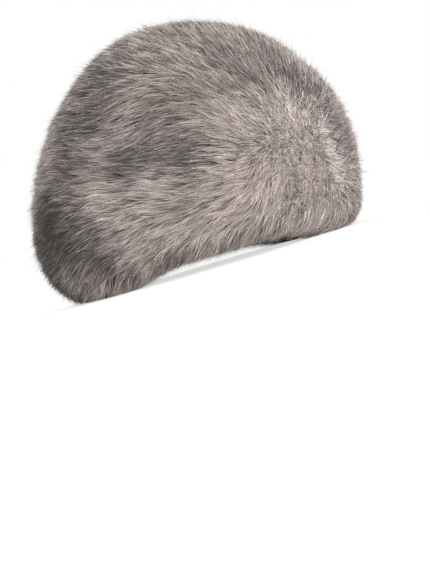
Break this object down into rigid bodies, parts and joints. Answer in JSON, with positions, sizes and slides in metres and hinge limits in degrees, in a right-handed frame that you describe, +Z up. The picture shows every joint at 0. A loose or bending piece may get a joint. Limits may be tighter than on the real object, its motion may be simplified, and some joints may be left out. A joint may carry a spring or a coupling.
{
  "type": "fur hat",
  "caption": "Round soft-crowned fur hat: a tall domed crown of dense short hair over a thin hollow hide, its lower edge turned in to an oval mouth, slightly raised at the front",
  "frame": {"origin": "on the surface that the hat stands on, under the middle of the hat", "axes": "+Z is up through the crown, -Y is the front where the lower edge is raised most, +X is to the right when the front is looked at, and the hat is longest from front to back"},
  "size_m": [0.2528, 0.2676, 0.1861],
  "materials": {
    "hide": "matt undyed suede, the flesh side of the pelt",
    "fur": "dense grey under hair with glossy silver-grey guard hair"
  },
  "bodies": {
    "root": {"hide": "hide", "fur": "fur"}
  },
  "joints": []
}
